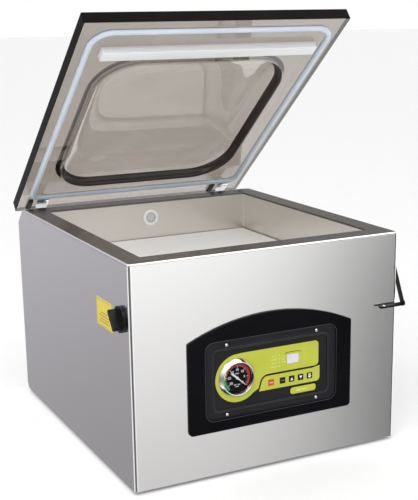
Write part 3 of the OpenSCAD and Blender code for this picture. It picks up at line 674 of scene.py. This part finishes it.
def numerals():
    """The dial's numbers, set in Blender's own font and joined into one film."""
    x, z, y, r = dial_place()
    upright = Matrix.Rotation(math.radians(90), 4, "X")
    points, faces = [], []
    for i in range(DIAL_STEPS + 1):
        text = bpy.data.curves.new("numeral", "FONT")
        text.body = str(5 * i)
        text.size = 0.22 * r
        text.align_x = "CENTER"
        text.align_y = "CENTER"
        text.extrude = FILM / 2
        text.offset = 0.006 * r
        letter = bpy.data.objects.new("numeral", text)
        scene.collection.objects.link(letter)
        bpy.context.view_layer.update()
        mesh = bpy.data.meshes.new_from_object(
            letter.evaluated_get(bpy.context.evaluated_depsgraph_get()))
        a = math.radians(dial_angle(i / DIAL_STEPS))
        middle = (x + 0.52 * r * math.cos(a), y - FILM / 2, z + 0.52 * r * math.sin(a))
        place = Matrix.Translation(middle) @ upright
        start = len(points)
        points += [place @ v.co for v in mesh.vertices]
        faces += [tuple(start + v for v in f.vertices) for f in mesh.polygons]
        bpy.data.objects.remove(letter)
        bpy.data.meshes.remove(mesh)
        bpy.data.curves.remove(text)
    slot, material = inks["white"]
    piece_from("dial_numerals", points, faces, material, "cabinet")


dial_marks()
numerals()


# Marks on the green sheet, the keys and the yellow plate: generic shapes only

def overlay_marks():
    """An arc over the display, rows of dashes and lamps beside it, and the label's bars."""
    x, z, _ = middle_of("display_window")
    face_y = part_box("control_overlay")[0].y
    span, rise = 16 * MM, 2.6 * MM
    thick_line = 1.0 * MM
    arch = [(x + span * t, z + 12.6 * MM - rise * abs(t) ** 5)
            for t in (i / 16 - 1 for i in range(33))]
    printed("display_arc", [arch + [(px, pz - thick_line) for px, pz in reversed(arch)]],
            face_y, "lime_dark")
    left, lone_x = x - 31 * MM, x - 17.5 * MM
    rows = [z + (9.5 - 6.4 * i) * MM for i in range(4)]
    dashes = [bar(left - 5 * MM, row, (9 + 2.5 * (i % 2)) * MM, 1.2 * MM)
              for i, row in enumerate(rows)]
    dashes += [bar(lone_x, z - 3 * MM, 8 * MM, 1.2 * MM)]
    printed("overlay_dashes", dashes, face_y, "lime_pale")
    lamps = [disc(left + 5 * MM, row, 1.1 * MM) for row in rows]
    lamps += [disc(lone_x, z + 1.2 * MM, 1.3 * MM)]
    printed("overlay_lamps", lamps, face_y, "lime_pale", thick=3 * FILM)
    label_x, label_z, label_y = middle_of("mode_label")
    marks = [bar(label_x - 9 * MM, label_z, 9 * MM, 3.2 * MM),
             bar(label_x + 2.5 * MM, label_z, 10 * MM, 2.0 * MM)]
    printed("mode_label_marks", marks, label_y, "lime_pale")


def key_marks():
    """A dash, three dots, two arrows and a hand, each riding on its own key."""
    half = 2.7 * MM
    x, z, y = middle_of("key_stop")
    printed("key_stop_mark", [bar(x, z, 6.4 * MM, 1.0 * MM)], y, "white", "key_stop")
    x, z, y = middle_of("key_set")
    printed("key_set_mark", [bar(x + d * MM, z, 1.5 * MM, 1.5 * MM) for d in (-2.4, 0, 2.4)],
            y, "grey", "key_set")
    x, z, y = middle_of("key_up")
    printed("key_up_mark", [[(x - half, z - half), (x + half, z - half), (x, z + half)]],
            y, "white", "key_up")
    x, z, y = middle_of("key_down")
    printed("key_down_mark", [[(x - half, z + half), (x, z - half), (x + half, z + half)]],
            y, "white", "key_down")
    x, z, y = middle_of("key_hand")
    palm = [disc(x - 0.2 * MM, z - 1.2 * MM, 2.4 * MM, 16)]
    palm += [bar(x + d * MM, z + 1.8 * MM, 0.9 * MM, 4.0 * MM) for d in (-2.0, -0.8, 0.4, 1.6)]
    palm += [bar(x + 2.6 * MM, z - 0.6 * MM, 1.6 * MM, 1.0 * MM)]
    printed("key_hand_mark", palm, y, "white", "key_hand")


def plate_marks():
    """A printed border and bars that stand for wording, on the plate's face to -X."""
    low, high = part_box("warning_plate")
    y0, y1, z0, z1 = low.y, high.y, low.z, high.z
    edge, line = 2.2 * MM, 0.5 * MM
    middle_y, width = (y0 + y1) / 2, y1 - y0
    frame_bars = [
        (y0 + edge, z0 + edge, y1 - edge, z0 + edge + line),
        (y0 + edge, z1 - edge - line, y1 - edge, z1 - edge),
        (y0 + edge, z0 + edge, y0 + edge + line, z1 - edge),
        (y1 - edge - line, z0 + edge, y1 - edge, z1 - edge),
    ]
    for i, share in enumerate((0.62, 0.5, 0.66, 0.4)):
        z = z0 + (8 + 5 * i) * MM
        frame_bars.append((middle_y - share * width / 2, z, middle_y + share * width / 2,
                           z + 1.6 * MM))
    outlines = [[(a, b), (c, b), (c, d), (a, d)] for a, b, c, d in frame_bars]
    points, faces = [], []
    for outline in outlines:
        start = len(points)
        points += [(low.x, y, z) for y, z in outline]
        points += [(low.x - FILM, y, z) for y, z in outline]
        faces += [(start, start + 1, start + 2, start + 3),
                  (start + 4, start + 5, start + 6, start + 7)]
        faces += [(start + i, start + (i + 1) % 4, start + 4 + (i + 1) % 4, start + 4 + i)
                  for i in range(4)]
    slot, material = inks["ochre"]
    piece_from("warning_plate_marks", points, faces, material, "cabinet")


overlay_marks()
key_marks()
plate_marks()


# Studio: camera, floor, lights

def camera():
    """The view that shows the front and left side from a little above."""
    data = bpy.data.cameras.new("camera")
    data.lens = 77.63
    data.shift_x = -0.03474
    data.shift_y = 0.06358
    data.clip_end = 100
    place = Vector((-0.8387, -1.7803, 0.7537))
    az, el, roll = -0.472322, 0.247929, -0.011586
    back = Vector((math.sin(az) * math.cos(el), -math.cos(az) * math.cos(el), math.sin(el)))
    right = Vector((math.cos(az), math.sin(az), 0))
    up = back.cross(right)
    c, s = math.cos(roll), math.sin(roll)
    axes = Matrix((c * right + s * up, c * up - s * right, back)).transposed()
    item = bpy.data.objects.new("camera", data)
    item.matrix_world = Matrix.Translation(place) @ axes.to_4x4()
    scene.collection.objects.link(item)
    scene.camera = item


def floor():
    """A wide white table top."""
    half = 30.0
    mesh = bpy.data.meshes.new("floor")
    mesh.from_pydata([(-half, -half, 0), (half, -half, 0), (half, half, 0), (-half, half, 0)],
                     [], [(0, 1, 2, 3)])
    mesh.materials.append(surface("floor_white", (0.88, 0.88, 0.88), 0.9, drift=0.005,
                                  gloss=0.02, relief=0.02))
    item = bpy.data.objects.new("floor", mesh)
    item.visible_glossy = False
    scene.collection.objects.link(item)


def lamp(name, place, aim, size, energy):
    """A soft square light."""
    data = bpy.data.lights.new(name, "AREA")
    data.size = size
    data.energy = energy
    item = bpy.data.objects.new(name, data)
    item.location = place
    item.rotation_mode = "QUATERNION"
    item.rotation_quaternion = (Vector(aim) - Vector(place)).to_track_quat("-Z", "Y")
    item.visible_camera = False
    scene.collection.objects.link(item)


def studio():
    """A white room that looks plain white to the camera and through glass, lights evenly, and
    is reflected with soft patches: a direction, its inner and outer degrees, and a shade."""
    world = bpy.data.worlds.new("studio")
    world.use_nodes = True
    scene.world = world
    tree = world.node_tree
    background = tree.nodes["Background"]
    direction = add(world, "TexCoord").outputs["Generated"]

    def patch(toward, inner, outer):
        """1 within inner degrees of a direction, falling to 0 at outer degrees."""
        near = add(world, "VectorMath", {0: direction, 1: Vector(toward).normalized()},
                   operation="DOT_PRODUCT").outputs["Value"]
        return add(world, "MapRange", {
            "Value": near, "From Min": math.cos(math.radians(outer)),
            "From Max": math.cos(math.radians(inner)),
        }, interpolation_type="SMOOTHSTEP").outputs["Result"]

    room, diffuse_room, seen_room = (1.20, 1.20, 1.20, 1), (1.02, 1.02, 1.02, 1), (1, 1, 1, 1)
    tone = room
    for toward, inner, outer, shade in (
        ((0.30, -0.62, -0.72), 5, 40, (0.45, 0.44, 0.44, 1)),
        ((0.785, -0.55, -0.285), 17, 25, (0, 0, 0, 1)),
        ((-0.75, -0.62, -0.25), 18, 46, (0.10, 0.10, 0.10, 1)),
        ((0.45, 0.83, 0.33), 10, 36, (0.40, 0.38, 0.37, 1)),
        ((-0.30, 0.93, -0.28), 25, 60, (0.52, 0.51, 0.55, 1)),
        ((-0.38, 0.72, -0.58), 5, 32, (0.28, 0.27, 0.28, 1)),
        ((0.44, -0.25, 0.86), 10, 30, (2.2, 2.2, 2.2, 1)),
    ):
        tone = mixed(world, patch(toward, inner, outer), tone, shade)
    path = add(world, "LightPath")
    seen = add(world, "Math", {0: path.outputs["Is Camera Ray"],
                               1: path.outputs["Is Transmission Ray"]}, operation="MAXIMUM")
    lit = mixed(world, path.outputs["Is Diffuse Ray"], tone, diffuse_room)
    plug(world, background.inputs["Color"],
         mixed(world, seen.outputs["Value"], lit, seen_room))


camera()
floor()
studio()
lamp("key", (-1.6, -1.8, 2.6), (0, 0, 0.2), 1.8, 36)
scene.view_settings.view_transform = "Standard"
